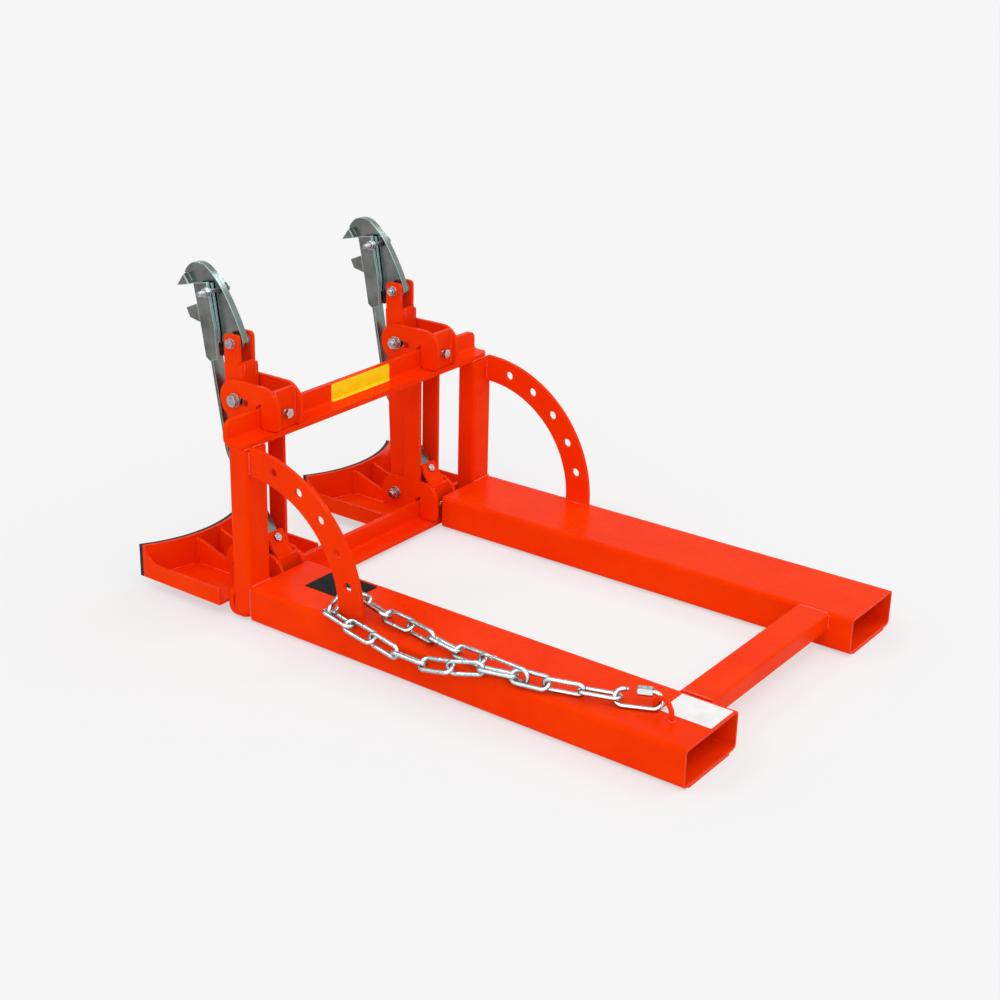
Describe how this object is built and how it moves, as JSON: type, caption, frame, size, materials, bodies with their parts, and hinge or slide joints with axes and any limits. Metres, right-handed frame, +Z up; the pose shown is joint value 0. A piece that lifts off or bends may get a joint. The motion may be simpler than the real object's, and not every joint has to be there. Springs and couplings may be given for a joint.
{
  "type": "drum lifter",
  "caption": "Fork mounted drum lifter: two fork pockets with a rail frame, two sliding parrot beak grippers with curved rubber saddles, and a safety chain.",
  "frame": {"origin": "midway between the two pocket mouths at the rear, level with the underside of the pocket tubes", "axes": "+X forward from the pocket mouths to the drums, +Y to the left seen from the truck, +Z up"},
  "size_m": [1.3711, 0.894, 0.7256],
  "materials": {
    "orange_paint": "glossy red-orange paint over welded steel",
    "zinc_plate": "bright zinc plated steel plate",
    "zinc_bolts": "bright zinc plated fasteners",
    "bright_galvanised": "bright galvanised round steel",
    "black_rubber": "matt black rubber"
  },
  "bodies": {
    "frame": {"fork_pocket_left": "orange_paint", "fork_pocket_right": "orange_paint", "wear_pads": "orange_paint", "rear_cross_member": "orange_paint", "post_left": "orange_paint", "post_right": "orange_paint", "top_rail": "orange_paint", "bottom_rail": "orange_paint", "arc_plate_left": "orange_paint", "arc_plate_right": "orange_paint", "chain_eye": "orange_paint", "chain_links": "bright_galvanised", "quick_link": "bright_galvanised", "snap_hook": "bright_galvanised"},
    "carriage_left": {"carriage_side_plates_left": "orange_paint", "carriage_cross_plates_left": "orange_paint", "strap_lug_left": "orange_paint", "lug_bolt_left": "zinc_bolts", "lower_pivot_bolt_left": "zinc_bolts", "saddle_face_left": "orange_paint", "saddle_rubber_left": "black_rubber", "saddle_tray_left": "orange_paint", "saddle_ribs_left": "orange_paint"},
    "mast_left": {"mast_side_plates_left": "orange_paint", "mast_web_left": "orange_paint", "guide_bolt_left": "zinc_bolts", "clevis_bolt_left": "zinc_bolts", "beak_spacers_left": "zinc_bolts"},
    "beak_left": {"beak_left": "zinc_plate", "beak_tooth_left": "zinc_plate"},
    "jaw_left": {"jaw_plates_left": "zinc_plate", "jaw_lip_left": "zinc_plate", "jaw_strap_left": "zinc_plate", "link_bolt_left": "zinc_bolts"},
    "clamp_bottom_left": {"clamp_screw_bottom_left": "zinc_bolts"},
    "clamp_top_left": {"clamp_screw_top_left": "zinc_bolts"},
    "carriage_right": {"carriage_side_plates_right": "orange_paint", "carriage_cross_plates_right": "orange_paint", "strap_lug_right": "orange_paint", "lug_bolt_right": "zinc_bolts", "lower_pivot_bolt_right": "zinc_bolts", "saddle_face_right": "orange_paint", "saddle_rubber_right": "black_rubber", "saddle_tray_right": "orange_paint", "saddle_ribs_right": "orange_paint"},
    "mast_right": {"mast_side_plates_right": "orange_paint", "mast_web_right": "orange_paint", "guide_bolt_right": "zinc_bolts", "clevis_bolt_right": "zinc_bolts", "beak_spacers_right": "zinc_bolts"},
    "beak_right": {"beak_right": "zinc_plate", "beak_tooth_right": "zinc_plate"},
    "jaw_right": {"jaw_plates_right": "zinc_plate", "jaw_lip_right": "zinc_plate", "jaw_strap_right": "zinc_plate", "link_bolt_right": "zinc_bolts"},
    "clamp_bottom_right": {"clamp_screw_bottom_right": "zinc_bolts"},
    "clamp_top_right": {"clamp_screw_top_right": "zinc_bolts"},
    "quick_link_sleeve": {"quick_link_sleeve": "bright_galvanised"},
    "snap_hook_gate": {"snap_hook_gate": "bright_galvanised"}
  },
  "joints": [
    {"name": "carriage_slide_left", "type": "slide", "parent": "frame", "child": "carriage_left", "axis": [0, 1, 0], "range_m": [-0.1, 0.034]},
    {"name": "mast_swing_left", "type": "hinge", "parent": "carriage_left", "child": "mast_left", "pos_m": [1.178, 0.2875, 0.066], "axis": [0, -1, 0], "range_deg": [0, 3.5]},
    {"name": "beak_pivot_left", "type": "hinge", "parent": "mast_left", "child": "beak_left", "pos_m": [1.197, 0.2875, 0.565], "axis": [0, -1, 0], "range_deg": [0, 10.63]},
    {"name": "jaw_pivot_left", "type": "hinge", "parent": "carriage_left", "child": "jaw_left", "pos_m": [1.11234, 0.2875, 0.14467], "axis": [0, -1, 0], "range_deg": [0, 6.18]},
    {"name": "clamp_screw_bottom_left_slide", "type": "slide", "parent": "carriage_left", "child": "clamp_bottom_left", "axis": [1, 0, 0], "range_m": [-0.008, 0]},
    {"name": "clamp_screw_top_left_slide", "type": "slide", "parent": "carriage_left", "child": "clamp_top_left", "axis": [1, 0, 0], "range_m": [-0.008, 0]},
    {"name": "carriage_slide_right", "type": "slide", "parent": "frame", "child": "carriage_right", "axis": [0, 1, 0], "range_m": [-0.068, 0.1]},
    {"name": "mast_swing_right", "type": "hinge", "parent": "carriage_right", "child": "mast_right", "pos_m": [1.178, -0.254, 0.066], "axis": [0, -1, 0], "range_deg": [0, 3.5]},
    {"name": "beak_pivot_right", "type": "hinge", "parent": "mast_right", "child": "beak_right", "pos_m": [1.197, -0.254, 0.565], "axis": [0, -1, 0], "range_deg": [0, 10.63]},
    {"name": "jaw_pivot_right", "type": "hinge", "parent": "carriage_right", "child": "jaw_right", "pos_m": [1.11234, -0.254, 0.14467], "axis": [0, -1, 0], "range_deg": [0, 6.18]},
    {"name": "clamp_screw_bottom_right_slide", "type": "slide", "parent": "carriage_right", "child": "clamp_bottom_right", "axis": [1, 0, 0], "range_m": [-0.008, 0]},
    {"name": "clamp_screw_top_right_slide", "type": "slide", "parent": "carriage_right", "child": "clamp_top_right", "axis": [1, 0, 0], "range_m": [-0.008, 0]},
    {"name": "quick_link_sleeve_slide", "type": "slide", "parent": "frame", "child": "quick_link_sleeve", "axis": [0.9026, 0.4305, 0], "range_m": [0, 0.018]},
    {"name": "snap_hook_gate_hinge", "type": "hinge", "parent": "frame", "child": "snap_hook_gate", "pos_m": [0.43211, 0.40979, 0.11424], "axis": [-0.0902, -0.9959, 0], "range_deg": [0, 16], "stiffness_Nm_per_rad": 0.05}
  ],
  "couplings": [
    {"joint": "beak_pivot_left", "follows": "mast_swing_left", "ratio": 3.0345},
    {"joint": "jaw_pivot_left", "follows": "mast_swing_left", "ratio": 1.7621},
    {"joint": "beak_pivot_right", "follows": "mast_swing_right", "ratio": 3.0345},
    {"joint": "jaw_pivot_right", "follows": "mast_swing_right", "ratio": 1.7621}
  ]
}
